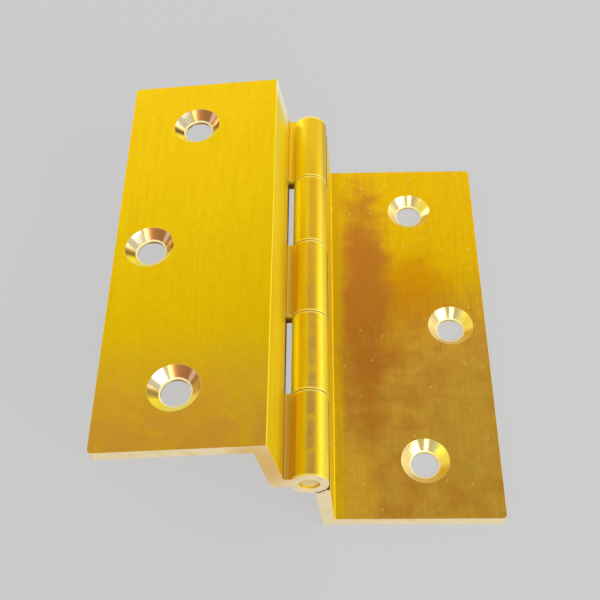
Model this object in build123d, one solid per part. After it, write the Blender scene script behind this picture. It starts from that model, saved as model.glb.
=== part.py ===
"""Cranked hinge of solid brass: two Z-shaped leaves turning on one pin.

Every section is drawn about the pin, which lies along Y. The upper leaf stands to the
left (-X) and the lower leaf to the right (+X), and both countersunk faces look up (+Z).
Swung over by half a turn, the upper leaf lies face to face on the lower one, and the
lower crank nests inside the upper crank.
"""
from build123d import *
import os
from math import cos, radians, tan

# Overall sizes, in millimetres
hinge_length = 75.0
face_height = 13.0
upper_reach = 31.0
lower_reach = 31.5

# Sections of the two leaves
leaf_thickness = 2.1
crank_thickness = 2.4
crank_lean = 5.0
lower_face_lean = 3.3
web_thickness = 2.4
web_top = 1.8
nesting_gap = 0.6
bend_radius = 0.35
corner_radius = 0.8

# Barrel and pin
knuckle_count = 5
barrel_radius = 3.0
knuckle_gap = 0.15
knuckle_chamfer = 0.12
pin_radius = 1.6
pin_running_clearance = 0.05
pin_recess = 0.25
pin_chamfer = 0.2
relief_gap = 0.3
passing_gap = 0.3
slot_bite = 0.2

# Countersunk screw holes: the end screws stand nearer the pin than the middle one
screw_hole_radius = 2.35
countersink_radius = 4.05
countersink_angle = 90.0
end_screw_margin = 10.4
end_screw_reach = 19.0
middle_screw_reach = 25.2

# The upper leaf's outer edge hangs a little below level
rest_tilt = 4.5

half_length = hinge_length / 2
knuckle_pitch = hinge_length / knuckle_count
web_bottom = web_top - web_thickness
leaf_back = face_height - leaf_thickness
end_screw_y = half_length - end_screw_margin
mounting_depth = face_height + leaf_thickness


def slanted_x(distance, height, degrees=crank_lean):
    """X of a leaning crank face that passes the pin's axis at this distance."""
    lean = radians(degrees)
    return distance / cos(lean) + height * tan(lean)


def rounded(section, corners):
    """The section with its bends at these corners rounded."""
    vertices = [section.vertices().sort_by_distance((x, z, 0))[0] for x, z in corners]
    return fillet(vertices, bend_radius)


def knuckle_span(index):
    """Where a knuckle starts and ends along the pin; the outer ends stay flush."""
    start = index * knuckle_pitch - half_length
    end = start + knuckle_pitch
    if index > 0:
        start += knuckle_gap / 2
    if index < knuckle_count - 1:
        end -= knuckle_gap / 2
    return start, end


def along_pin(section, start, end):
    """A section stood up in the XZ plane and drawn out along the pin."""
    return extrude(Plane.XZ.offset(-end) * section, amount=end - start)


def leaf_body(plate, knuckled, own_knuckles):
    """The plain section over the full length, and the knuckled one at its own knuckles."""
    body = along_pin(plate, -half_length, half_length)
    for index in own_knuckles:
        body += along_pin(knuckled, *knuckle_span(index))
    return body


def chamfer_knuckles(body):
    """Break the edges where the knuckles end."""
    rims = [
        edge
        for edge in body.edges().filter_by(GeomType.CIRCLE)
        if abs(edge.radius - barrel_radius) < knuckle_chamfer
    ]
    return chamfer(rims, knuckle_chamfer)


def round_leaf_corners(body, reach):
    """Round the two outer corners of a flat in plan."""
    corners = [
        edge
        for edge in body.edges().filter_by(Axis.Z)
        if abs(edge.center().X - reach) < corner_radius
        and abs(abs(edge.center().Y) - half_length) < corner_radius
    ]
    return fillet(corners, corner_radius)


def drill_screw_holes(body, side, face):
    """Three countersunk holes: two on the inner line and the middle one further out."""
    depth = 2 * leaf_thickness
    countersink = CounterSinkHole(
        radius=screw_hole_radius,
        counter_sink_radius=countersink_radius,
        counter_sink_angle=countersink_angle,
        depth=depth,
    )
    places = [
        (end_screw_reach, -end_screw_y),
        (middle_screw_reach, 0),
        (end_screw_reach, end_screw_y),
    ]
    for reach, y in places:
        body -= Pos(side * reach, y, face) * countersink
    return body


def make_upper_leaf():
    """Flat at the top, crank down its inner edge, short web to three knuckles.

    The slots for the other knuckles are sawn straight down, a little into the crank.
    """
    outer = barrel_radius + nesting_gap
    inner = outer + crank_thickness
    crest = (-slanted_x(outer, face_height), face_height)
    toe = (-slanted_x(outer, web_bottom), web_bottom)
    heel = (-slanted_x(inner, web_bottom), web_bottom)
    armpit = (-slanted_x(inner, leaf_back), leaf_back)
    outline = [(-upper_reach, face_height), crest, toe, heel, armpit, (-upper_reach, leaf_back)]
    plate = rounded(make_face(Polyline(*outline, close=True)), [crest, heel, armpit])

    foot = (-slanted_x(outer, web_top), web_top)
    web = make_face(
        Polyline(foot, (0, web_top), (0, web_bottom), toe, close=True)
    )
    knuckled = plate + web + Circle(barrel_radius)
    knuckled = rounded(knuckled, [foot]) - Circle(pin_radius)

    slot_wall = slanted_x(outer, web_top) + slot_bite
    slot = Pos(-slot_wall, 0) * Rectangle(
        barrel_radius, 2 * face_height, align=(Align.MIN, Align.CENTER)
    )
    body = leaf_body(plate - slot, knuckled, range(0, knuckle_count, 2))
    body = chamfer_knuckles(body)
    body = round_leaf_corners(body, -upper_reach)
    return drill_screw_holes(body, -1, face_height)


def make_lower_leaf():
    """Crank down from two knuckles, cut back round the upper ones, and a flat below.

    The crank's outer face stands steeper than its inner one, so it thins towards the flat.
    """
    outer = barrel_radius
    inner = outer - crank_thickness
    floor = -face_height
    back = -mounting_depth
    head = (slanted_x(outer, 0, lower_face_lean), 0)
    corner = (slanted_x(outer, face_height, lower_face_lean), floor)
    heel = (slanted_x(inner, mounting_depth), back)
    neck = (slanted_x(inner, 0), 0)
    outline = [head, corner, (lower_reach, floor), (lower_reach, back), heel, neck]
    plate = rounded(make_face(Polyline(*outline, close=True)), [corner, heel])
    bore = Circle(pin_radius + pin_running_clearance)
    knuckled = plate + Circle(barrel_radius) - bore

    cut_height = web_top + passing_gap
    above = Pos(0, -cut_height) * Rectangle(
        4 * barrel_radius, 2 * cut_height, align=(Align.CENTER, Align.MIN)
    )
    relieved = plate - Circle(barrel_radius + relief_gap) - above

    body = leaf_body(relieved, knuckled, range(1, knuckle_count, 2))
    body = chamfer_knuckles(body)
    body = round_leaf_corners(body, lower_reach)
    return drill_screw_holes(body, 1, floor)


def make_hinge_pin():
    """A plain pin held by the upper knuckles, its ends just inside them."""
    pin = Cylinder(pin_radius, hinge_length - 2 * pin_recess, rotation=(90, 0, 0))
    return chamfer(pin.edges().filter_by(GeomType.CIRCLE), pin_chamfer)


def main():
    os.makedirs("parts", exist_ok=True)
    # The origin is on the lower leaf's back, halfway between its end screws
    to_frame = Pos(-end_screw_reach, 0, mounting_depth)
    tilted = to_frame * Rot(0, -rest_tilt, 0)
    pieces = {
        "upper_leaf": tilted * make_upper_leaf(),
        "lower_leaf": to_frame * make_lower_leaf(),
        "hinge_pin": tilted * make_hinge_pin(),
    }
    for name, solid in pieces.items():
        export_step(solid, f"parts/{name}.step")
        print(name, round(solid.volume, 1), solid.is_valid)


main()
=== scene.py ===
# %% [markdown]
# # A cranked brass hinge
#
# The hinge is three pieces of solid brass: an upper leaf and a lower leaf, each drawn as one long
# Z-shaped section and sawn to length, and the pin that both turn on. The CAD model already has their
# sizes. This lesson makes the same three pieces again as meshes that can carry a finish, with broken
# edges, turned countersinks, sawn ends and tarnish, and lights them as in a small photo tent.

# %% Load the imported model
from math import atan2, cos, degrees, pi, radians, sin, sqrt, tan

import bmesh
import bpy
from mathutils import Matrix, Vector


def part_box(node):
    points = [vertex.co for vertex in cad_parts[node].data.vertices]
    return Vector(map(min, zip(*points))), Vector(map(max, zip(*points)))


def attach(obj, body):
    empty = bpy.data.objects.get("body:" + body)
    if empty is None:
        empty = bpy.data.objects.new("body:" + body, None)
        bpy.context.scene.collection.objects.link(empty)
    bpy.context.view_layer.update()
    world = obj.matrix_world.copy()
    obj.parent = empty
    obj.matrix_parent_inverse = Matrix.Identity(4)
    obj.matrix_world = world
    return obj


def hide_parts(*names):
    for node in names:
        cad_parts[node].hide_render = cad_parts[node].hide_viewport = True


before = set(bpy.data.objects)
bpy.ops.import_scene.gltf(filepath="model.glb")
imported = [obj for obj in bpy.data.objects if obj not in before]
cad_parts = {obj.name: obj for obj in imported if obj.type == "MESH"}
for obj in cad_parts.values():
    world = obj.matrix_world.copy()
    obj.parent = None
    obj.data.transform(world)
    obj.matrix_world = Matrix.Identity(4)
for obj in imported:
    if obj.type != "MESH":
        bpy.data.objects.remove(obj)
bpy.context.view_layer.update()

# %% [markdown]
# ## The camera
#
# The photograph was taken from above the near end, with a moderate long lens. Its place was found
# by fitting the hinge's corners, rims and holes, and it is written as a yaw, a pitch and a roll,
# which is how a photographer would describe a tripod head. The three axes of the view become the
# columns of the camera's matrix.

# %% Place the camera
photo_pixels = 600
focal_pixels = 1047.6
sensor_width = 36.0
camera_place = Vector((-0.01536, -0.10665, 0.160315))
camera_yaw = radians(-2.956)
camera_pitch = radians(54.513)
camera_roll = radians(-3.062)

forward = Vector((
    sin(camera_yaw) * cos(camera_pitch),
    cos(camera_yaw) * cos(camera_pitch),
    -sin(camera_pitch),
))
level_right = Vector((cos(camera_yaw), -sin(camera_yaw), 0))
level_up = level_right.cross(forward)
right = cos(camera_roll) * level_right + sin(camera_roll) * level_up
up = cos(camera_roll) * level_up - sin(camera_roll) * level_right
view_axes = Matrix((right, up, -forward)).transposed().to_4x4()

camera = bpy.data.objects.new("camera", bpy.data.cameras.new("camera"))
bpy.context.scene.collection.objects.link(camera)
camera.matrix_world = Matrix.Translation(camera_place) @ view_axes
camera.data.sensor_width = sensor_width
camera.data.lens = sensor_width * focal_pixels / photo_pixels
camera.data.clip_start = 0.01
bpy.context.scene.camera = camera
bpy.context.scene.view_settings.view_transform = "Standard"
print("lens:", round(camera.data.lens, 1), "mm")

# %% [markdown]
# ## Sizes of the sections
#
# Both leaves are drawn about the pin, in millimetres, as the toolmaker who cuts the drawing die
# would: X is the distance from the pin, Z the height above it, and the pin runs along Y. The two
# countersunk faces stand 13 mm above and 13 mm below the pin, so they meet when the hinge shuts.

# %% Name the sizes, in millimetres
hinge_length = 75.0
half_length = hinge_length / 2
face_height = 13.0
leaf_thickness = 2.1
upper_reach = 31.0
lower_reach = 31.5
crank_thickness = 2.4
crank_lean = radians(5.0)
lower_face_lean = radians(3.3)
web_top = 1.8
web_bottom = -0.6
nesting_gap = 0.6
bend_radius = 0.35
corner_radius = 0.8
knuckle_count = 5
knuckle_pitch = hinge_length / knuckle_count
knuckle_gap = 0.15
barrel_radius = 3.0
relief_gap = 0.3
passing_gap = 0.3
slot_bite = 0.2
pin_radius = 1.6
bore_clearance = 0.05
screw_hole_radius = 2.35
countersink_radius = 4.05
end_screw_y = 27.1
end_screw_reach = 19.0
middle_screw_reach = 25.2
rest_tilt = radians(4.5)
mounting_depth = face_height + leaf_thickness
screw_places = [
    (end_screw_reach, -end_screw_y),
    (middle_screw_reach, 0.0),
    (end_screw_reach, end_screw_y),
]
same_place = 0.01


def slanted_x(distance, height, lean=crank_lean):
    """X of a leaning crank face that passes the pin's axis at this distance."""
    return distance / cos(lean) + height * tan(lean)


lower_foot = slanted_x(barrel_radius, face_height, lower_face_lean)
print("the lower crank meets its flat at x =", round(lower_foot, 2), "mm")

# %% [markdown]
# ## Drawing a section
#
# Drawn brass has the same section all along, with a small radius at each bend and sharp corners
# only where it was sawn. So each leaf starts as one outline, given as corners with a radius each,
# and is drawn out along the pin. Writing the corners down keeps every size readable; tracing a
# picture or pushing vertices about would hide them.

# %% Helpers that draw an outline out into a bar
bend_steps = 5
barrel_steps = 44
corner_steps = 6


def rounded(corners):
    """Points of an outline whose corners are (x, z, bend radius); a radius of 0 stays sharp."""
    points = []
    for i, (x, z, radius) in enumerate(corners):
        corner = Vector((x, z))
        if radius == 0:
            points.append(corner)
            continue
        back = (Vector(corners[i - 1][:2]) - corner).normalized()
        ahead = (Vector(corners[(i + 1) % len(corners)][:2]) - corner).normalized()
        half_angle = back.angle(ahead) / 2
        centre = corner + (back + ahead).normalized() * radius / sin(half_angle)
        start = corner + back * radius / tan(half_angle) - centre
        end = corner + ahead * radius / tan(half_angle) - centre
        turn = atan2(start.x * end.y - start.y * end.x, start.dot(end))
        for step in range(bend_steps + 1):
            points.append(centre + Matrix.Rotation(turn * step / bend_steps, 2) @ start)
    return points


def arc(radius, start, end, steps):
    """Sharp corners round the pin's axis from one angle to another, in degrees."""
    angles = [radians(start + (end - start) * i / steps) for i in range(steps + 1)]
    return [(radius * cos(a), radius * sin(a), 0) for a in angles]


def new_piece(name, bm):
    """A mesh object made from what was built in bmesh."""
    bmesh.ops.recalc_face_normals(bm, faces=bm.faces)
    mesh = bpy.data.meshes.new(name)
    bm.to_mesh(mesh)
    bm.free()
    piece = bpy.data.objects.new(name, mesh)
    bpy.context.scene.collection.objects.link(piece)
    return piece


def draw_out(name, corners, start, end):
    """A bar with this section, from one place along the pin to another."""
    bm = bmesh.new()
    section = bm.faces.new([bm.verts.new((x, start, z)) for x, z in rounded(corners)])
    drawn = bmesh.ops.extrude_face_region(bm, geom=[section])["geom"]
    moved = [part for part in drawn if isinstance(part, bmesh.types.BMVert)]
    bmesh.ops.translate(bm, verts=moved, vec=(0, end - start, 0))
    return new_piece(name, bm)


print("steps in a bend:", bend_steps)

# %% [markdown]
# ## The two bars
#
# The upper leaf runs from its flat, down the leaning crank and along a short web into the barrel.
# The lower leaf leaves the barrel at a tangent, so its section follows the barrel's circle over the
# top and then runs straight down. Both bars start with a whole barrel over their full length.

# %% Draw the bars
upper_outer = barrel_radius + nesting_gap
upper_inner = upper_outer + crank_thickness
leaf_back = face_height - leaf_thickness
web_meets = 180 - degrees(atan2(web_top, sqrt(barrel_radius**2 - web_top**2)))
web_leaves = -180 - degrees(atan2(web_bottom, sqrt(barrel_radius**2 - web_bottom**2)))
upper_section = [
    (-upper_reach, leaf_back, 0),
    (-upper_reach, face_height, 0),
    (-slanted_x(upper_outer, face_height), face_height, bend_radius),
    (-slanted_x(upper_outer, web_top), web_top, bend_radius),
    *arc(barrel_radius, web_meets, web_leaves, barrel_steps),
    (-slanted_x(upper_inner, web_bottom), web_bottom, bend_radius),
    (-slanted_x(upper_inner, leaf_back), leaf_back, bend_radius),
]
lower_inner = barrel_radius - crank_thickness
face_angle = degrees(lower_face_lean)
neck_reach = sqrt(barrel_radius**2 - lower_inner**2)
neck_angle = degrees(crank_lean - atan2(neck_reach, lower_inner))
lower_section = [
    *arc(barrel_radius, face_angle, 360 + neck_angle, barrel_steps),
    (slanted_x(lower_inner, mounting_depth), -mounting_depth, bend_radius),
    (lower_reach, -mounting_depth, 0),
    (lower_reach, -face_height, 0),
    (lower_foot, -face_height, bend_radius),
]
upper_leaf = draw_out("upper_leaf_dressed", upper_section, -half_length, half_length)
lower_leaf = draw_out("lower_leaf_dressed", lower_section, -half_length, half_length)
print("faces in the bars:", len(upper_leaf.data.polygons), len(lower_leaf.data.polygons))


# %% Round the outer corners of the flats
def round_outer_corners(piece, reach):
    """Rounds the upright edges at the outer corners of a flat; returns how many there are."""
    bm = bmesh.new()
    bm.from_mesh(piece.data)
    corners = []
    for edge in bm.edges:
        a, b = (v.co for v in edge.verts)
        at_the_edge = abs(a.x - reach) < same_place and abs(b.x - reach) < same_place
        if at_the_edge and abs(a.y - b.y) < same_place:
            corners.append(edge)
    bmesh.ops.bevel(
        bm, geom=corners, offset=corner_radius, segments=corner_steps, profile=0.5, affect="EDGES",
    )
    bm.to_mesh(piece.data)
    bm.free()
    return len(corners)


print("corners rounded:", round_outer_corners(upper_leaf, -upper_reach),
      round_outer_corners(lower_leaf, lower_reach))

# %% [markdown]
# ## One tree for every repeated cut
#
# The slots between knuckles and the screw holes are both the same job: one tool, set down at even
# steps and taken away from the bar. A Geometry Nodes tree does it with named inputs. A Mesh Line
# sets the places, Set Position may move the middle one sideways, since the middle screw stands
# further from the pin, and Mesh Boolean removes the realized tools. Doing it by hand would mean
# thirteen separate cuts, and a changed spacing would mean doing them all again.

# %% Helpers that place a node and wire it


def feed(tree, node, inputs):
    """Gives each named input of a node a plain value, or wires it to a socket."""
    for name, value in inputs.items():
        if isinstance(value, bpy.types.NodeSocket):
            tree.links.new(value, node.inputs[name])
        else:
            node.inputs[name].default_value = value


def put(tree, kind, inputs=None, **settings):
    """Adds one node with its settings and its inputs."""
    node = tree.nodes.new(kind)
    for name, value in settings.items():
        setattr(node, name, value)
    feed(tree, node, inputs or {})
    return node


# %% Build the tree of repeated cuts
cuts = bpy.data.node_groups.new("repeated_cuts", "GeometryNodeTree")
cut_inputs = {
    "Bar": "NodeSocketGeometry",
    "Tool": "NodeSocketObject",
    "First Place": "NodeSocketVector",
    "Step": "NodeSocketVector",
    "Cuts": "NodeSocketInt",
    "Middle Shift": "NodeSocketVector",
    "Cut Finish": "NodeSocketMaterial",
}
cut_sockets = {
    name: cuts.interface.new_socket(name, in_out="INPUT", socket_type=kind).identifier
    for name, kind in cut_inputs.items()
}
cuts.interface.new_socket("Bar", in_out="OUTPUT", socket_type="NodeSocketGeometry")
given = put(cuts, "NodeGroupInput").outputs
places = put(cuts, "GeometryNodeMeshLine", {
    "Count": given["Cuts"], "Start Location": given["First Place"], "Offset": given["Step"],
})
index = put(cuts, "GeometryNodeInputIndex").outputs[0]
is_middle = put(cuts, "FunctionNodeCompare", {2: index, 3: 1}, data_type="INT", operation="EQUAL")
shifted = put(cuts, "GeometryNodeSetPosition", {
    "Geometry": places.outputs["Mesh"],
    "Selection": is_middle.outputs[0],
    "Offset": given["Middle Shift"],
})
tool = put(cuts, "GeometryNodeObjectInfo", {"Object": given["Tool"]})
tools = put(cuts, "GeometryNodeInstanceOnPoints", {
    "Points": shifted.outputs["Geometry"], "Instance": tool.outputs["Geometry"],
})
real_tools = put(cuts, "GeometryNodeRealizeInstances", {"Geometry": tools.outputs["Instances"]})
finished_tools = put(cuts, "GeometryNodeSetMaterial", {
    "Geometry": real_tools.outputs["Geometry"], "Material": given["Cut Finish"],
})
taken_away = put(cuts, "GeometryNodeMeshBoolean", operation="DIFFERENCE", solver="EXACT")
cuts.links.new(given["Bar"], taken_away.inputs["Mesh 1"])
cuts.links.new(finished_tools.outputs["Geometry"], taken_away.inputs["Mesh 2"])
cuts.links.new(taken_away.outputs["Mesh"], put(cuts, "NodeGroupOutput").inputs["Bar"])
print("nodes in the tree:", len(cuts.nodes))

# %% Helpers that run the tree on a bar


def settle(piece):
    """Turns what the modifiers make into the piece's own plain mesh."""
    evaluated = piece.evaluated_get(bpy.context.evaluated_depsgraph_get())
    mesh = bpy.data.meshes.new_from_object(evaluated)
    piece.modifiers.clear()
    piece.data = mesh


def put_in_order(mesh):
    """Numbers points and faces by place: a boolean shuffles them, and the next cut would differ."""
    order = sorted(range(len(mesh.vertices)), key=lambda i: tuple(mesh.vertices[i].co))
    number = {old: new for new, old in enumerate(order)}
    faces = []
    for polygon in mesh.polygons:
        corners = [number[i] for i in polygon.vertices]
        first = corners.index(min(corners))
        faces.append((corners[first:] + corners[:first], polygon.material_index))
    faces.sort()
    points = [mesh.vertices[i].co.copy() for i in order]
    mesh.clear_geometry()
    mesh.from_pydata(points, [], [corners for corners, _ in faces])
    for polygon, (_, finish) in zip(mesh.polygons, faces):
        polygon.material_index = finish


def cut(piece, tool, first, step, count, finish, middle_shift=(0, 0, 0)):
    """Takes the tool away from the piece at evenly spaced places."""
    values = {
        "Tool": tool, "First Place": first, "Step": step, "Cuts": count,
        "Middle Shift": middle_shift, "Cut Finish": finish,
    }
    modifier = piece.modifiers.new("cuts", "NODES")
    modifier.node_group = cuts
    for name, value in values.items():
        modifier[cut_sockets[name]] = value
    settle(piece)
    put_in_order(piece.data)
    print(tool.name, "cut", piece.name, count, "times")
    bpy.data.objects.remove(tool)


# %% [markdown]
# ## Names for the finishes
#
# One bar of brass shows several surfaces: the drawn faces, the sawn ends and slots, the turned
# countersinks and the worn edges. Each is a material of its own. They are created empty here, so
# that the cuts can hand them out, and their nodes come further down.

# %% Create the empty materials
finish_names = [
    "drawn_upper", "drawn_lower", "crank_brass", "upper_knuckle", "lower_knuckle", "sawn_end",
    "slot_wall", "upper_countersink", "lower_countersink", "worn_edge_highlight", "pin_brass",
]
finishes = {name: bpy.data.materials.new(name) for name in finish_names}
for piece, finish in ((upper_leaf, "drawn_upper"), (lower_leaf, "drawn_lower")):
    piece.data.materials.append(finishes[finish])
print("finishes:", ", ".join(finish_names))

# %% [markdown]
# ## Slots between the knuckles
#
# Each leaf gives up the barrel where the other leaf's knuckles go. On the upper leaf the saw goes
# straight down through the web and just bites into the crank. On the lower leaf a round foot goes
# 0.3 mm deeper than the barrel, so that the other knuckles can turn, and the flat shoulders of the
# same cutter let the upper web pass.

# %% Saw the slots and bore the pin hole
slot_length = knuckle_pitch + knuckle_gap
first_knuckle = -half_length + knuckle_pitch / 2
overrun = 1.0
relief_steps = 24
bore_steps = 48
saw_top = 2 * barrel_radius
saw_bottom = -barrel_radius - overrun
cut_height = -(web_top + passing_gap)
relief_radius = barrel_radius + relief_gap
relief_angle = degrees(atan2(-cut_height, sqrt(relief_radius**2 - cut_height**2)))
slot_wall = slanted_x(upper_outer, web_top) + slot_bite
upper_saw = draw_out("upper_saw", [
    (-slot_wall, saw_top, 0),
    (-slot_wall, saw_bottom, 0),
    (saw_top, saw_bottom, 0),
    (saw_top, saw_top, 0),
], -slot_length / 2, slot_length / 2)
lower_saw = draw_out("lower_saw", [
    *arc(relief_radius, -relief_angle, relief_angle - 180, relief_steps),
    (-saw_top, cut_height, 0),
    (-saw_top, saw_top, 0),
    (saw_top, saw_top, 0),
    (saw_top, cut_height, 0),
], -slot_length / 2, slot_length / 2)
next_slot = (0, 2 * knuckle_pitch, 0)
slot_wall_finish = finishes["slot_wall"]
second_knuckle = first_knuckle + knuckle_pitch
cut(upper_leaf, upper_saw, (0, second_knuckle, 0), next_slot, knuckle_count // 2, slot_wall_finish)
cut(lower_leaf, lower_saw, (0, first_knuckle, 0), next_slot, knuckle_count // 2 + 1, slot_wall_finish)

for piece, radius in ((upper_leaf, pin_radius), (lower_leaf, pin_radius + bore_clearance)):
    whole_circle = arc(radius, 0, 360 - 360 / bore_steps, bore_steps - 1)
    reamer = draw_out("reamer", whole_circle, -half_length - overrun, half_length + overrun)
    cut(piece, reamer, (0, 0, 0), (0, 1, 0), 1, slot_wall_finish)
    print(piece.name, "has", len(piece.data.polygons), "faces after sawing")

# %% [markdown]
# ## Screw holes
#
# A No. 8 wood screw wants a clear hole with a cone of 90 degrees above it. The drill is turned
# rather than drawn: a profile of rings swept round its own axis, reaching a little above the face so
# that the two never share a plane, which is what upsets a boolean. Where the cone meets the hole it
# leaves a narrow, flatter lip, which catches the light. The same lathe makes the pin.

# %% Turn the countersink drill and use it


def turned(name, rings, steps, along_y=False):
    """A solid of revolution from (radius, height) rings, closed by flat ends."""
    bm = bmesh.new()
    loops = []
    for radius, height in rings:
        loop = []
        for step in range(steps):
            angle = 2 * pi * step / steps
            across = (radius * cos(angle), radius * sin(angle))
            place = (across[0], height, -across[1]) if along_y else (*across, height)
            loop.append(bm.verts.new(place))
        loops.append(loop)
    for lower, upper in zip(loops, loops[1:]):
        for i in range(steps):
            j = (i + 1) % steps
            bm.faces.new((lower[i], lower[j], upper[j], upper[i]))
    bm.faces.new(loops[0][::-1])
    bm.faces.new(loops[-1])
    return new_piece(name, bm)


cone_steps = 72
drill_lift = 0.3
drill_reach = 2 * leaf_thickness
lip_width = 0.28
lip_drop = 0.18
lip_radius = screw_hole_radius + lip_width
lip_height = lip_radius - countersink_radius
for piece, side, face, finish in (
    (upper_leaf, -1, face_height, "upper_countersink"),
    (lower_leaf, 1, -face_height, "lower_countersink"),
):
    drill = turned("drill", [
        (screw_hole_radius, -drill_reach),
        (screw_hole_radius, lip_height - lip_drop),
        (lip_radius, lip_height),
        (countersink_radius + drill_lift, drill_lift),
    ], cone_steps)
    cut(
        piece, drill, (side * end_screw_reach, -end_screw_y, face), (0, end_screw_y, 0), 3,
        finishes[finish], (side * (middle_screw_reach - end_screw_reach), 0, 0),
    )
    print(piece.name, "has", len(piece.data.polygons), "faces after drilling")

# %% [markdown]
# ## Broken edges
#
# No brass edge stays sharp: sawing leaves a burr, and tumbling or a file takes it off. The Bevel
# modifier does that, but only where two faces meet at a real outside corner, which is found by the
# signed angle between them. Straight edges and the knuckles' rims lose the full width, other curves
# half of it, and the rims of the countersinks less, since a drill leaves them crisp. Each new strip
# gets the worn finish, because handling keeps edges bright while the faces tarnish; its pale, hardly
# metallic colour is also a painted highlight along the edges.

# %% Break the edges
edge_width = 0.2
bevel_steps = 2
curve_share = 0.5
rim_share = 0.3
sharp_angle = radians(30)
longest_curve_step = 1.0
on_circle = 0.05
weld_distance = 0.001


def from_hole(x, y):
    """Distance from the axis of the nearest screw hole; both leaves have the same three places."""
    return min(sqrt((abs(x) - reach) ** 2 + (y - along) ** 2) for reach, along in screw_places)


def from_barrel(x, z):
    """Distance from the barrel's surface, inside or outside it."""
    return abs(sqrt(x * x + z * z) - barrel_radius)


def share_of_width(edge):
    """How much of the full width an edge loses: straight ones all, a countersink's rim the least."""
    middle = (edge.verts[0].co + edge.verts[1].co) / 2
    if edge.calc_length() > longest_curve_step or from_barrel(middle.x, middle.z) < on_circle:
        return 1.0
    if abs(from_hole(middle.x, middle.y) - countersink_radius) < on_circle:
        return rim_share
    return curve_share


def break_edges(piece):
    """Bevels the outside corners of a piece and gives the new strips the worn finish, painted pale as
    a highlight.
    """
    bm = bmesh.new()
    bm.from_mesh(piece.data)
    bmesh.ops.remove_doubles(bm, verts=bm.verts, dist=weld_distance)
    weight = bm.edges.layers.float.new("bevel_weight_edge")
    broken = 0
    for edge in bm.edges:
        if len(edge.link_faces) != 2 or edge.calc_face_angle_signed() < sharp_angle:
            continue
        edge[weight] = share_of_width(edge)
        broken += 1
    bm.to_mesh(piece.data)
    bm.free()
    piece.data.materials.append(finishes["worn_edge_highlight"])
    bevel = piece.modifiers.new("broken_edges", "BEVEL")
    bevel.limit_method = "WEIGHT"
    bevel.width = edge_width
    bevel.segments = bevel_steps
    bevel.material = len(piece.data.materials) - 1
    bevel.harden_normals = True
    for polygon in piece.data.polygons:
        polygon.use_smooth = True
    settle(piece)
    return broken


for piece in (upper_leaf, lower_leaf):
    print(piece.name, "edges broken:", break_edges(piece), "faces:", len(piece.data.polygons))

# %% [markdown]
# ## Which face gets which finish
#
# The cuts have already marked the slots and the countersinks, and the bevel has marked the edges.
# What is left can be told from its place: a face at the very end of the bar was sawn, a face one
# barrel radius from the pin belongs to a knuckle, and a steep face that looks to the right is the
# outside of a crank. The upper crank takes the bend above it along. Two kinds of cut face change
# hands again: a knuckle's broken rims go to the knuckle, and the lip at a cone's foot gets the worn
# finish with its painted highlight.

# %% Sort the faces
crank_margin = 0.1
crank_reach = slanted_x(upper_outer, face_height) + crank_margin
lower_crank_steepness = 0.6
upper_crank_steepness = 0.12
sawn_steepness = 0.5


def drawn_face_finish(face, knuckle):
    """The finish of a face that no tool has touched, or None where it stays as drawn."""
    x, y, z = face.center
    at_corner = abs(x) > upper_reach - corner_radius and abs(y) > half_length - corner_radius
    if abs(y) > half_length - same_place or (at_corner and abs(face.normal.z) < sawn_steepness):
        return "sawn_end"
    if from_barrel(x, z) < on_circle:
        return knuckle
    if x > 0:
        on_crank = face.normal.x > lower_crank_steepness
    else:
        on_crank = face.normal.x > upper_crank_steepness and z > web_top + bend_radius
    return "crank_brass" if on_crank and abs(x) < crank_reach else None


def cut_face_finish(face, knuckle):
    """The finish of a bevelled or turned face that differs from the rest of its kind, or None."""
    x, y, z = face.center
    if from_barrel(x, z) < edge_width and abs(y) < half_length - edge_width:
        return knuckle
    if screw_hole_radius + on_circle < from_hole(x, y) < lip_radius - on_circle:
        return "worn_edge_highlight"
    return None


def sort_faces(piece, drawn, knuckle, countersink):
    """Hands each face its finish, while the mesh is still drawn about the pin."""
    slots = {material.name: i for i, material in enumerate(piece.data.materials)}
    counts = {}
    for name in ("sawn_end", knuckle, "crank_brass"):
        piece.data.materials.append(finishes[name])
        slots[name] = len(piece.data.materials) - 1
    for face in piece.data.polygons:
        name = None
        if face.material_index == slots[drawn]:
            name = drawn_face_finish(face, knuckle)
        elif face.material_index in (slots[countersink], slots["worn_edge_highlight"]):
            name = cut_face_finish(face, knuckle)
        if name:
            face.material_index = slots[name]
            counts[name] = counts.get(name, 0) + 1
    return counts


for piece, leaf in ((upper_leaf, "upper"), (lower_leaf, "lower")):
    print(piece.name, sort_faces(piece, "drawn_" + leaf, leaf + "_knuckle", leaf + "_countersink"))

# %% [markdown]
# ## The pin
#
# The pin is a length of drawn brass rod with a small chamfer at each end, pressed into the upper
# leaf and set a quarter of a millimetre below its end faces.

# %% Turn the pin
pin_recess = 0.25
pin_chamfer = 0.2
pin_end = half_length - pin_recess
hinge_pin = turned("hinge_pin_dressed", [
    (pin_radius - pin_chamfer, -pin_end),
    (pin_radius, pin_chamfer - pin_end),
    (pin_radius, pin_end - pin_chamfer),
    (pin_radius - pin_chamfer, pin_end),
], bore_steps, along_y=True)
hinge_pin.data.materials.append(finishes["pin_brass"])
print("pin is", round(2 * pin_end, 2), "mm long")

# %% [markdown]
# ## Into the frame of the CAD model
#
# The pieces were drawn in millimetres about the pin. The frame is in metres, with its origin on the
# lower leaf's back, so the meshes themselves are scaled and moved, and the upper leaf is tipped by
# the 4.5 degrees at which the photograph shows it. The objects stay at the origin, unturned.

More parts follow.
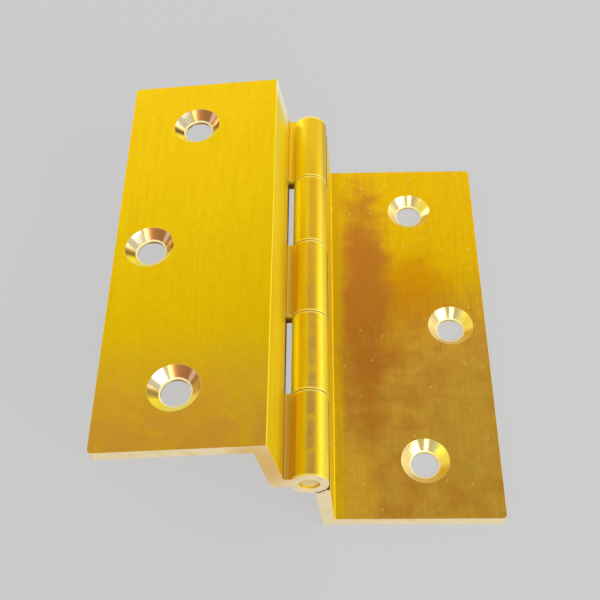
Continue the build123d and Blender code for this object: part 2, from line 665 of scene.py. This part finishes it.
# %% Move the meshes and hand the pieces over
millimetre = 0.001
to_frame = Matrix.Scale(millimetre, 4)
to_frame.translation = Vector((-end_screw_reach, 0, mounting_depth)) * millimetre
tipped = to_frame @ Matrix.Rotation(-rest_tilt, 4, "Y")
dressed = [
    (upper_leaf, "upper_leaf", "upper", tipped),
    (lower_leaf, "lower_leaf", "lower", to_frame),
    (hinge_pin, "hinge_pin", "upper", tipped),
]
for piece, node, body, place in dressed:
    piece.data.transform(place)
    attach(piece, body)
    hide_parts(node)
    low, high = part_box(node)
    corners = [v.co for v in piece.data.vertices]
    gap = max(
        max(abs(min(c[i] for c in corners) - low[i]), abs(max(c[i] for c in corners) - high[i]))
        for i in range(3)
    )
    print(node, "differs from its CAD box by", round(gap / millimetre, 3), "mm")

# %% [markdown]
# ## Patterns shared by the finishes
#
# Brass needs a handful of patterns in several places: fine lines from drawing, soft patches of
# tarnish, a stain that lies in one place, small marks, and the rings that a countersink leaves.
# Each is a node group with named inputs, built once. The groups put out masks between 0 and 1 only;
# the shaders that turn masks into colour and gloss stay in the materials.

# %% A colour as it reads in a picture


def paint(red, green, blue):
    """A colour from 0 to 255 as a picture shows it, turned into the linear one that shaders use."""
    levels = [level / 255 for level in (red, green, blue)]
    return (*(v / 12.92 if v <= 0.04045 else ((v + 0.055) / 1.055) ** 2.4 for v in levels), 1)


print("clean brass in linear light:", [round(v, 3) for v in paint(236, 196, 20)])

# %% Helpers that start a node group and fill it


def new_group(name, inputs):
    """A shader node group with one Mask output; returns the group and its input sockets."""
    group = bpy.data.node_groups.new(name, "ShaderNodeTree")
    for socket_name, default in inputs.items():
        kind = "NodeSocketVector" if isinstance(default, tuple) else "NodeSocketFloat"
        socket = group.interface.new_socket(socket_name, in_out="INPUT", socket_type=kind)
        socket.default_value = default
    group.interface.new_socket("Mask", in_out="OUTPUT", socket_type="NodeSocketFloat")
    return group, put(group, "NodeGroupInput").outputs


def finish_group(group, mask):
    put(group, "NodeGroupOutput", {"Mask": mask})
    print(group.name, "has", len(group.nodes), "nodes")


def maths(tree, operation, *values):
    """A Math node fed with numbers or sockets."""
    return put(tree, "ShaderNodeMath", dict(enumerate(values)), operation=operation).outputs[0]


def product(tree, *values):
    """Masks and numbers multiplied together."""
    result = values[0]
    for value in values[1:]:
        result = maths(tree, "MULTIPLY", result, value)
    return result


def vector_maths(tree, operation, *values):
    """A Vector Math node fed with vectors or sockets; returns the vector that it makes."""
    return put(tree, "ShaderNodeVectorMath", dict(enumerate(values)), operation=operation).outputs[0]


def length(tree, vector):
    return put(tree, "ShaderNodeVectorMath", {0: vector}, operation="LENGTH").outputs["Value"]


def noise_in(tree, inputs, detail, **settings):
    """Noise whose cells are one unit wide, with this much detail."""
    inputs = {**inputs, "Scale": 1.0, "Detail": detail, "Roughness": 0.6}
    return put(tree, "ShaderNodeTexNoise", inputs, **settings).outputs[0]


def ramp(tree, value, start, end):
    """0 where the value is at start, 1 where it is at end, with soft shoulders."""
    node = put(tree, "ShaderNodeMapRange", {"Value": value, "From Min": start, "From Max": end},
               interpolation_type="SMOOTHSTEP")
    return node.outputs["Result"]


# %% Lines along the pin, from drawing the bar
drawn_lines, given = new_group("drawn_lines", {
    "Place": (0.0, 0.0, 0.0), "Spacing": 0.2, "Length": 12.0,
})
line_cell = put(drawn_lines, "ShaderNodeCombineXYZ", {
    "X": given["Spacing"], "Y": given["Length"], "Z": given["Spacing"],
})
stretched = vector_maths(drawn_lines, "DIVIDE", given["Place"], line_cell.outputs[0])
finish_group(drawn_lines, noise_in(drawn_lines, {"Vector": stretched}, 3.0))

# %% Soft patches, as tarnish spreads
patches, given = new_group("patches", {
    "Place": (0.0, 0.0, 0.0), "Size": 6.0, "Coverage": 0.5, "Softness": 0.1,
})
patch_cell = put(patches, "ShaderNodeCombineXYZ", {
    "X": given["Size"], "Y": given["Size"], "Z": given["Size"],
})
sized = vector_maths(patches, "DIVIDE", given["Place"], patch_cell.outputs[0])
border = maths(patches, "SUBTRACT", 1.0, given["Coverage"])
finish_group(patches, ramp(
    patches, noise_in(patches, {"Vector": sized}, 5.0),
    maths(patches, "SUBTRACT", border, given["Softness"]),
    maths(patches, "ADD", border, given["Softness"]),
))

# %% A stain that lies in one place
stain, given = new_group("stain", {
    "Place": (0.0, 0.0, 0.0), "Centre": (0.0, 0.0, 0.0), "Reach": (5.0, 5.0, 5.0), "Ragged": 0.5,
})
away = vector_maths(stain, "SUBTRACT", given["Place"], given["Centre"])
distance = length(stain, vector_maths(stain, "DIVIDE", away, given["Reach"]))
noise = put(stain, "ShaderNodeTexNoise", {
    "Vector": given["Place"], "Scale": 0.22, "Detail": 5.0, "Roughness": 0.6,
}).outputs[0]
raggedness = product(stain, maths(stain, "SUBTRACT", noise, 0.5), given["Ragged"])
finish_group(stain, ramp(stain, maths(stain, "ADD", distance, raggedness), 1.0, 0.3))

# %% Small marks: specks in square cells, scratches in long ones
marks, given = new_group("marks", {
    "Place": (0.0, 0.0, 0.0), "Cell": (3.0, 3.0, 1.0), "Turn": 0.0, "Mark": 0.1, "Share": 0.3,
})
turned_place = put(marks, "ShaderNodeVectorRotate", {
    "Vector": given["Place"], "Angle": given["Turn"],
}, rotation_type="Z_AXIS")
in_cells = vector_maths(marks, "DIVIDE", turned_place.outputs[0], given["Cell"])
spots = put(marks, "ShaderNodeTexVoronoi", {
    "Vector": in_cells, "Scale": 1.0,
}, voronoi_dimensions="2D")
small = ramp(marks, spots.outputs["Distance"], given["Mark"], 0.0)
lot = put(marks, "ShaderNodeSeparateColor", {"Color": spots.outputs["Color"]})
kept = maths(marks, "LESS_THAN", lot.outputs[0], given["Share"])
finish_group(marks, product(marks, small, kept))

# %% Rings round the nearest screw hole
hole_names = ("Near", "Middle", "Far")
hole_inputs = {name: (0.0, 0.0, 0.0) for name in ("Place", *hole_names)}
flat_on = (1.0, 1.0, 0.0)

turned_rings, given = new_group("turned_rings", {**hole_inputs, "Pitch": 0.15})
level = vector_maths(turned_rings, "MULTIPLY", given["Place"], flat_on)
radii = [
    length(turned_rings, vector_maths(turned_rings, "SUBTRACT", level, given[name]))
    for name in hole_names
]
nearest = maths(turned_rings, "MINIMUM", maths(turned_rings, "MINIMUM", radii[0], radii[1]), radii[2])
ring = maths(turned_rings, "DIVIDE", nearest, given["Pitch"])
finish_group(turned_rings, noise_in(turned_rings, {"W": ring}, 2.0, noise_dimensions="1D"))

# %% [markdown]
# ## Starting a finish
#
# Every finish reads the same place: a Mapping node turns Object coordinates, which are metres in the
# frame, back into millimetres about the pin. The upper leaf's is turned by its tilt too, so that a
# stain or a line stays square to the leaf. Colour, roughness and the fine relief are then laid over
# one Principled BSDF, whose own sockets hold what is the same all over.

# %% Helpers that start a brass finish


def begin_finish(name, tilt, metallic=1.0):
    """Opens a finish; returns its tree, its shader and the place in millimetres about the pin."""
    finishes[name].use_nodes = True
    tree = finishes[name].node_tree
    shader = tree.nodes["Principled BSDF"]
    shader.inputs["Metallic"].default_value = metallic
    turn = Matrix.Rotation(tilt, 3, "Y")
    mapping = put(tree, "ShaderNodeMapping", {
        "Vector": put(tree, "ShaderNodeTexCoord").outputs["Object"],
        "Location": -(turn @ Vector((-end_screw_reach, 0, mounting_depth))),
        "Rotation": turn.to_euler(),
        "Scale": (1 / millimetre,) * 3,
    })
    return tree, shader, mapping.outputs[0]


def pattern(tree, group, **inputs):
    """One use of a shared group."""
    return put(tree, "ShaderNodeGroup", inputs, node_tree=group).outputs["Mask"]


def mixed(tree, factor, first, second):
    """A colour between two others."""
    return put(tree, "ShaderNodeMix", {0: factor, 6: first, 7: second}, data_type="RGBA").outputs[2]


def blended(tree, factor, first, second):
    """A number between two others."""
    return put(tree, "ShaderNodeMix", {0: factor, 2: first, 3: second}).outputs[0]


def washed(tree, colour, tint, *masks):
    """The colour with a tint laid over it, as strongly as the masks and numbers say together."""
    return mixed(tree, product(tree, *masks), colour, paint(*tint))


def axes_of(tree, place):
    """The distance to the right of the pin, the distance along it and the height above it."""
    return put(tree, "ShaderNodeSeparateXYZ", {"Vector": place}).outputs[:3]


def drawn_base(tree, place, spacing, length_of_lines, first, second):
    """Coarse drawing lines, and two tints of brass that follow them."""
    coarse = pattern(tree, drawn_lines, Place=place, Spacing=spacing, Length=length_of_lines)
    return coarse, mixed(tree, ramp(tree, coarse, 0.2, 0.8), paint(*first), paint(*second))


def complete(name, tree, shader, colour, roughness, height, depth):
    """Hands over colour, roughness and a fine relief, whose mask lifts it this many millimetres."""
    bump = put(tree, "ShaderNodeBump", {"Height": height, "Distance": depth * millimetre})
    feed(tree, shader, {"Base Color": colour, "Roughness": roughness, "Normal": bump.outputs[0]})
    print(name, "has", len(tree.nodes), "nodes")


print("finishes are measured in millimetres about the pin, which lies", mounting_depth, "mm up")

# %% [markdown]
# ## Drawn brass of the upper leaf
#
# The upper leaf is the cleaner one: an even, deep yellow with fine lines along the pin, browner in
# patches towards its near end, and darker along the web beside the barrel, the more so towards the
# near end.

# %% Finish the upper leaf
tree, shader, place = begin_finish("drawn_upper", rest_tilt)
_, along, height = axes_of(tree, place)
coarse, colour = drawn_base(tree, place, 0.45, 16.0, (238, 199, 3), (231, 190, 2))
fine = pattern(tree, drawn_lines, Place=place, Spacing=0.12, Length=5.0)
near_patches = pattern(tree, patches, Place=place, Size=5.0, Coverage=0.66, Softness=0.22)
# Browner in patches towards the near end.
colour = washed(tree, colour, (220, 162, 52), ramp(tree, along, -14.0, -37.0), near_patches)
mottle = pattern(tree, patches, Place=place, Size=1.2, Coverage=0.5, Softness=0.25)
colour = washed(tree, colour, (196, 132, 14), mottle, 0.13)
# Darker along the web beside the barrel, more so towards the near end.
low = ramp(tree, height, 3.2, 1.9)
colour = washed(tree, colour, (204, 166, 76), low, ramp(tree, along, 48.0, -8.0), 0.8)
gloss = maths(tree, "MULTIPLY_ADD", coarse, 0.12, 0.32)
complete("drawn_upper", tree, shader, colour, gloss, fine, 0.006)

# %% [markdown]
# ## Tarnished brass of the lower leaf
#
# The lower leaf has a broad brown stain beside the crank, warmer and ochre ones round it, and a bloom
# over its near half. A yellow band beside the barrel, darker towards the far end, is a painted
# reflection of the crank in the flat. The layers go from large to small, as tarnish does: stains and
# broad patches first, then small patches and brushed lines, and last the pale specks and short
# scratches that lie on top of all.

# %% Finish the lower leaf
stain_depth = 8.0


def stain_at(x, y, reach_across, reach_along, ragged):
    """A stain on the lower leaf's face."""
    return pattern(tree, stain, Place=place, Centre=(x, y, -face_height),
                   Reach=(reach_across, reach_along, stain_depth), Ragged=ragged)


tree, shader, place = begin_finish("drawn_lower", 0.0)
across, along, _ = axes_of(tree, place)
to_near_right = maths(tree, "MULTIPLY_ADD", across, -0.35, along)
coarse, colour = drawn_base(tree, place, 0.5, 14.0, (234, 189, 4), (226, 179, 3))
fine = pattern(tree, drawn_lines, Place=place, Spacing=0.12, Length=5.0)

colour = washed(tree, colour, (212, 142, 4), stain_at(17.0, 6.0, 13.0, 15.0, 0.8), 0.85)
bloom = pattern(tree, patches, Place=place, Size=9.0, Coverage=0.85, Softness=0.25)
colour = washed(tree, colour, (218, 170, 58), ramp(tree, to_near_right, 1.0, -16.0), bloom)
colour = washed(tree, colour, (190, 120, 36), stain_at(9.5, 6.0, 7.5, 37.0, 0.9))
blotches = pattern(tree, patches, Place=place, Size=3.6, Coverage=0.5, Softness=0.2)
blotched = product(tree, blotches, ramp(tree, to_near_right, 4.0, -12.0))
colour = washed(tree, colour, (182, 112, 38), blotched, 0.55)
colour = washed(tree, colour, (212, 172, 58), stain_at(27.0, -20.0, 8.0, 20.0, 0.5), 0.6)
colour = washed(tree, colour, (240, 192, 56), stain_at(7.0, -33.0, 6.0, 13.0, 0.6), 0.7)

# Painted reflection of the crank: a yellow band on the flat beside it, darker towards the far end.
band = mixed(tree, ramp(tree, along, 2.0, -20.0), paint(212, 168, 3), paint(236, 194, 4))
beside_barrel = ramp(tree, maths(tree, "MULTIPLY_ADD", coarse, 1.6, across), 7.2, 5.2)
colour = mixed(tree, product(tree, beside_barrel, 0.9), colour, band)

near_half = ramp(tree, to_near_right, 8.0, -8.0)
for size, coverage, softness, where, strength, tint in (
    (1.3, 0.5, 0.25, 1.0, 0.16, (176, 112, 24)),
    (2.4, 0.4, 0.12, near_half, 0.3, (190, 160, 50)),
    (0.8, 0.4, 0.1, near_half, 0.22, (190, 104, 44)),
):
    patch = pattern(tree, patches, Place=place, Size=size, Coverage=coverage, Softness=softness)
    colour = washed(tree, colour, tint, patch, where, strength)
brushed = product(tree, ramp(tree, coarse, 0.35, 0.75), ramp(tree, to_near_right, 6.0, -6.0))
colour = washed(tree, colour, (166, 106, 26), brushed, 0.22)

specks = pattern(tree, marks, Place=place, Cell=(4.0, 5.5, 1.0), Turn=0.4, Mark=0.07, Share=0.25)
scratches = pattern(tree, marks, Place=place, Cell=(1.6, 12.0, 1.0), Turn=0.7, Mark=0.07, Share=0.1)
colour = washed(tree, colour, (248, 208, 110), maths(tree, "MAXIMUM", specks, scratches), 0.7)
gloss = maths(tree, "MULTIPLY_ADD", coarse, 0.18, 0.28)
complete("drawn_lower", tree, shader, colour, gloss, fine, 0.006)

# %% [markdown]
# ## The outsides of the cranks
#
# The steep faces beside the barrel are bright, a little darker at the upper one's foot, and the upper
# one is painted almost white at its far end, a painted highlight. They mirror the barrel and the flat
# below, and brass mirrored in brass turns orange, so this finish is paler than the flats and scatters
# part of the light as a rubbed surface does.

# %% Finish the cranks
tree, shader, place = begin_finish("crank_brass", 0.0, metallic=0.64)
_, along, height = axes_of(tree, place)
coarse, colour = drawn_base(tree, place, 0.4, 12.0, (252, 230, 12), (246, 214, 4))
fine = pattern(tree, drawn_lines, Place=place, Spacing=0.12, Length=5.0)
# Darker at the upper crank's foot beside the web.
foot = product(tree, ramp(tree, height, 7.0, 2.5), ramp(tree, height, 0.0, 1.0))
colour = washed(tree, colour, (214, 166, 20), foot, 0.5)
# Painted highlight: almost white at the upper crank's far end.
far_highlight = product(tree, ramp(tree, along, 32.0, 36.8), ramp(tree, height, 2.0, 5.0))
colour = washed(tree, colour, (255, 252, 224), far_highlight)
complete("crank_brass", tree, shader, colour, 0.42, fine, 0.006)

# %% [markdown]
# ## The barrel
#
# The right side of the barrel is painted pale, a painted highlight, and its top is painted brown,
# more so towards its near end, a painted reflection of the dark above it. At the far end the right
# side is painted duller, painted shade, and the left one brighter, a painted highlight. On the left
# the knuckles differ: the upper leaf's are darker beside the web, while the lower leaf's are painted
# bright, painted light against the shade of their slots. All their rims are worn pale at the joints,
# and that pale is partly a painted highlight. So the two share a recipe, and the left side is what it
# is told.

# %% Finish the knuckles


def finish_knuckles(name, tilt, left_tint, left_metallic, left_spread):
    """Drawn brass with painted highlights, reflections and shade that follow the barrel, with a left
    side of its own.
    """
    tree, shader, place = begin_finish(name, tilt)
    across, along, _ = axes_of(tree, place)
    coarse, colour = drawn_base(tree, place, 0.5, 9.0, (236, 200, 4), (224, 181, 3))
    fine = pattern(tree, drawn_lines, Place=place, Spacing=0.15, Length=4.0)
    # Painted at the far end: shade on the right side, a highlight on the left.
    far = ramp(tree, along, 4.0, 28.0)
    colour = washed(tree, colour, (216, 174, 2), ramp(tree, across, -0.8, 0.6), far, 0.7)
    colour = washed(tree, colour, (246, 222, 4), ramp(tree, across, -0.4, -1.4), far)

    # Painted reflection of the dark above: a brown band along the top, in patches, more towards the
    # near end.
    top_band = product(tree, ramp(tree, across, -0.5, 0.2), ramp(tree, across, 1.5, 0.8))
    inner = product(tree, ramp(tree, along, -22.0, -4.0), ramp(tree, along, 32.0, 18.0))
    colour = washed(tree, colour, (204, 148, 2), top_band, inner, 0.6)
    reflection_patches = pattern(tree, patches, Place=place, Size=2.2, Coverage=0.6, Softness=0.22)
    colour = washed(tree, colour, (192, 148, 60), top_band, ramp(tree, along, 24.0, -26.0), reflection_patches)

    # The left side's own tint: darker beside the web on the upper leaf; on the lower leaf painted
    # light against the shade of the slots.
    on_left = product(tree, ramp(tree, across, -1.5, -2.1), ramp(tree, along, *left_spread))
    colour = washed(tree, colour, left_tint, on_left)
    # Painted highlight: the pale right side of the barrel, stronger towards the near end.
    on_right = product(tree, ramp(tree, across, 1.3, 2.1), ramp(tree, along, 45.0, -20.0))
    colour = washed(tree, colour, (248, 224, 48), on_right)
    # Rims worn pale at the joints, partly a painted highlight.
    from_joint = maths(tree, "PINGPONG", maths(tree, "ADD", along, half_length), knuckle_pitch / 2)
    rim = product(tree, ramp(tree, from_joint, 0.55, 0.2), 0.7)
    colour = washed(tree, colour, (252, 230, 104), rim)

    metallic = blended(tree, on_right, 0.74, 0.5)
    metallic = blended(tree, on_left, metallic, left_metallic)
    feed(tree, shader, {"Metallic": blended(tree, rim, metallic, 0.4)})
    complete(name, tree, shader, colour, 0.36, fine, 0.008)


finish_knuckles("upper_knuckle", rest_tilt, (214, 168, 58), 0.75, (24.0, -26.0))
finish_knuckles("lower_knuckle", 0.0, (254, 238, 34), 0.5, (60.0, 30.0))

# %% [markdown]
# ## Turned countersinks
#
# A countersink is the brightest surface of the hinge. Its fine rings spread each reflection along the
# slope, which is why a cone of brass shows wedges of light and dark. On top of that, each side of a
# cone has its own painted wedge, the same in all three cones of a leaf: cream and pale ones are
# painted highlights, brown and dark ones painted reflections of darker surroundings, and the yellow
# one at the near side a painted reflection of brass. One group finds a side of the nearest hole, and
# each leaf lists its own painted wedges.

# %% A side of each screw hole
hole_side, given = new_group("hole_side", {
    **hole_inputs, "Towards": (0.0, 1.0, 0.0), "Rim": 4.5, "Start": 0.5, "Full": 0.9,
})
level = vector_maths(hole_side, "MULTIPLY", given["Place"], flat_on)
leans = []
for name in hole_names:
    away = vector_maths(hole_side, "SUBTRACT", level, given[name])
    inside = maths(hole_side, "LESS_THAN", length(hole_side, away), given["Rim"])
    direction = vector_maths(hole_side, "NORMALIZE", away)
    lean = put(hole_side, "ShaderNodeVectorMath", {
        0: direction, 1: given["Towards"],
    }, operation="DOT_PRODUCT")
    leans.append(product(hole_side, inside, lean.outputs["Value"]))
total = maths(hole_side, "ADD", maths(hole_side, "ADD", leans[0], leans[1]), leans[2])
finish_group(hole_side, ramp(hole_side, total, given["Start"], given["Full"]))

# %% Finish the countersinks
cone_roughness = 0.14
ring_pitch = 0.16


def finish_countersinks(name, tilt, side, clean, painted_wedges):
    """Turned brass with painted wedges of highlight and reflection. Each has an hour, where 12 is the
    far end, the leans towards it at which it starts and is full, and then its tint, metallic and
    roughness.
    """
    tree, shader, place = begin_finish(name, tilt)
    holes = {hole: (side * x, y, 0.0) for hole, (x, y) in zip(hole_names, screw_places)}
    rings = pattern(tree, turned_rings, Place=place, Pitch=ring_pitch, **holes)
    colour = mixed(tree, rings, *(paint(*tint) for tint in clean))
    metallic, roughness = 1.0, cone_roughness
    for hour, start, full, tint, wedge_metallic, wedge_roughness in painted_wedges:
        clock = radians(30 * hour)
        mask = pattern(tree, hole_side, Place=place, Towards=(sin(clock), cos(clock), 0.0),
                       Start=start, Full=full, **holes)
        colour = washed(tree, colour, tint, mask)
        metallic = blended(tree, mask, metallic, wedge_metallic)
        roughness = blended(tree, mask, roughness, wedge_roughness)
    feed(tree, shader, {"Metallic": metallic})
    complete(name, tree, shader, colour, roughness, rings, 0.012)


# Painted wedges of the upper cones: cream and pale ones are painted highlights, brown and dark ones
# painted reflections, the yellow one near 6 a painted reflection of brass.
finish_countersinks("upper_countersink", rest_tilt, -1, ((242, 206, 116), (226, 184, 92)), [
    (10.3, 0.8, 0.95, (252, 236, 190), 1.0, 0.16),
    (1.0, 0.62, 0.9, (196, 132, 76), 1.0, 0.45),
    (1.6, 0.985, 1.0, (240, 200, 160), 0.7, 0.3),
    (8.6, 0.93, 0.99, (140, 112, 52), 1.0, 0.2),
    (5.9, 0.1, 0.45, (255, 232, 44), 0.3, 0.3),
])
# Painted wedges of the lower cones: two pale painted highlights and a yellow painted reflection of
# brass near 6.
finish_countersinks("lower_countersink", 0.0, 1, ((248, 224, 152), (234, 200, 116)), [
    (2.3, 0.6, 0.95, (255, 248, 160), 0.7, 0.2),
    (8.8, 0.5, 0.9, (250, 226, 150), 0.5, 0.3),
    (5.2, 0.3, 0.8, (240, 196, 56), 0.5, 0.25),
])

# %% [markdown]
# ## Sawn ends, slots, edges and pin
#
# A sawn face is covered in tiny teeth, so it scatters light almost as paint does: it gets a low
# Metallic and a high Roughness. Slot walls are dark low down, dirt and painted shade in the slots,
# and bright above and where knuckles turn against each other, wear and painted light that keeps the
# gaps from looking dark. Edges are worn bright, their pale colour also a painted highlight, and the
# pin's end is tan.

# %% Finish the small surfaces
tree, shader, place = begin_finish("sawn_end", 0.0, metallic=0.35)
teeth = pattern(tree, drawn_lines, Place=place, Spacing=0.3, Length=0.3)
colour = mixed(tree, teeth, paint(240, 216, 156), paint(255, 242, 204))
golden = pattern(tree, patches, Place=place, Size=2.0, Coverage=0.4, Softness=0.15)
colour = washed(tree, colour, (232, 190, 92), golden, 0.45)
tan_stain = pattern(tree, stain, Place=place, Centre=(-7.0, -half_length, 6.0),
                    Reach=(8.0, 4.0, 10.0), Ragged=0.6)
colour = washed(tree, colour, (232, 190, 112), tan_stain)
complete("sawn_end", tree, shader, colour, 0.5, teeth, 0.02)

tree, shader, place = begin_finish("slot_wall", 0.0)
_, _, height = axes_of(tree, place)
grime_and_shade = pattern(tree, patches, Place=place, Size=1.5, Coverage=0.5, Softness=0.3)
# Dark low down: dirt and painted shade in the slots.
dark = mixed(tree, grime_and_shade, paint(150, 104, 40), paint(98, 62, 22))
from_pin = length(tree, vector_maths(tree, "MULTIPLY", place, (1.0, 0.0, 1.0)))
# Bright above and within the barrel's radius: wear where knuckles turn, and painted light that keeps
# the gaps from looking dark.
brightened = maths(tree, "MAXIMUM", ramp(tree, height, 0.2, 1.2), ramp(tree, from_pin, 3.1, 2.9))
colour = washed(tree, dark, (252, 228, 50), brightened)
complete("slot_wall", tree, shader, colour, 0.5, grime_and_shade, 0.01)

# Pale, hardly metallic edges: wear, and a painted highlight along every edge.
tree, shader, place = begin_finish("worn_edge_highlight", 0.0, metallic=0.15)
brightened = pattern(tree, patches, Place=place, Size=2.0, Coverage=0.5, Softness=0.3)
colour = mixed(tree, brightened, paint(248, 228, 140), paint(255, 244, 204))
complete("worn_edge_highlight", tree, shader, colour, 0.4, brightened, 0.01)

tree, shader, place = begin_finish("pin_brass", 0.0, metallic=0.4)
teeth = pattern(tree, patches, Place=place, Size=0.6, Coverage=0.5, Softness=0.3)
colour = mixed(tree, teeth, paint(250, 226, 150), paint(222, 186, 116))
complete("pin_brass", tree, shader, colour, 0.45, teeth, 0.02)

# %% [markdown]
# ## Floor, backdrop and light
#
# The hinge lies on its lower leaf on pale grey paper. The paper is partly lit by the lamps, so it
# keeps the hinge's shadow, and partly gives light itself, so that the shadow stays pale. A wide
# soft box stands behind, low enough that the flats see it at their far end only. Two strips beside
# the hinge light the barrel and the cranks, and two small strong lamps make the bright wedges in
# the countersinks: a cone mirrors a small lamp as a narrow wedge and a large one as a plain glow.

# %% Lay the paper
floor = bpy.data.objects.new("floor", bpy.data.meshes.new("floor"))
bpy.context.scene.collection.objects.link(floor)
floor_reach = 3.0
floor_drop = -0.00005
floor_corners = [
    (floor_reach * x, floor_reach * y, floor_drop) for x, y in ((-1, -1), (1, -1), (1, 1), (-1, 1))
]
floor.data.from_pydata(floor_corners, [], [(0, 1, 2, 3)])
paper = bpy.data.materials.new("paper")
paper.use_nodes = True
floor.data.materials.append(paper)
paper_nodes = paper.node_tree
paper_nodes.nodes.clear()
paper_colour = 0.10
paper_glow = 0.50
lit = put(paper_nodes, "ShaderNodeBsdfDiffuse", {"Color": (paper_colour,) * 3 + (1,)})
glow = put(paper_nodes, "ShaderNodeEmission", {"Color": (paper_glow,) * 3 + (1,)})
both = put(paper_nodes, "ShaderNodeAddShader", {0: lit.outputs[0], 1: glow.outputs[0]})
put(paper_nodes, "ShaderNodeOutputMaterial", {"Surface": both.outputs[0]})
print("the paper reflects", paper_colour, "and glows with", paper_glow)

# %% Hang the backdrop and the lamps
backdrop_grey = 0.604
lamp_distance = 0.6
world = bpy.data.worlds.new("tent")
bpy.context.scene.world = world
world.use_nodes = True
background = world.node_tree.nodes["Background"]
background.inputs["Color"].default_value = (backdrop_grey,) * 3 + (1,)


def softbox(name, turn, height, width, tall, level):
    """A lamp facing the hinge, turned from straight behind, at a height angle; both in degrees."""
    lamp = bpy.data.lights.new(name, "AREA")
    lamp.shape = "RECTANGLE"
    lamp.size = width
    lamp.size_y = tall
    lamp.energy = level * pi * width * tall
    piece = bpy.data.objects.new(name, lamp)
    bpy.context.scene.collection.objects.link(piece)
    bearing, rise = radians(turn), radians(height)
    direction = Vector((sin(bearing) * cos(rise), cos(bearing) * cos(rise), sin(rise)))
    piece.location = lamp_distance * direction
    piece.rotation_euler = (-piece.location).to_track_quat("-Z", "Y").to_euler()
    print(name, "gives", round(lamp.energy, 2), "watts")


softbox("back_softbox", -5, 35, 0.8, 0.38, 0.7)
softbox("barrel_strip", 54, 18, 0.36, 0.36, 1.0)
softbox("left_strip", -58, 14, 0.3, 0.22, 2.5)
softbox("right_lamp", 128, 36, 0.4, 0.24, 5.0)
softbox("front_lamp", 184, 45, 0.12, 0.36, 5.0)
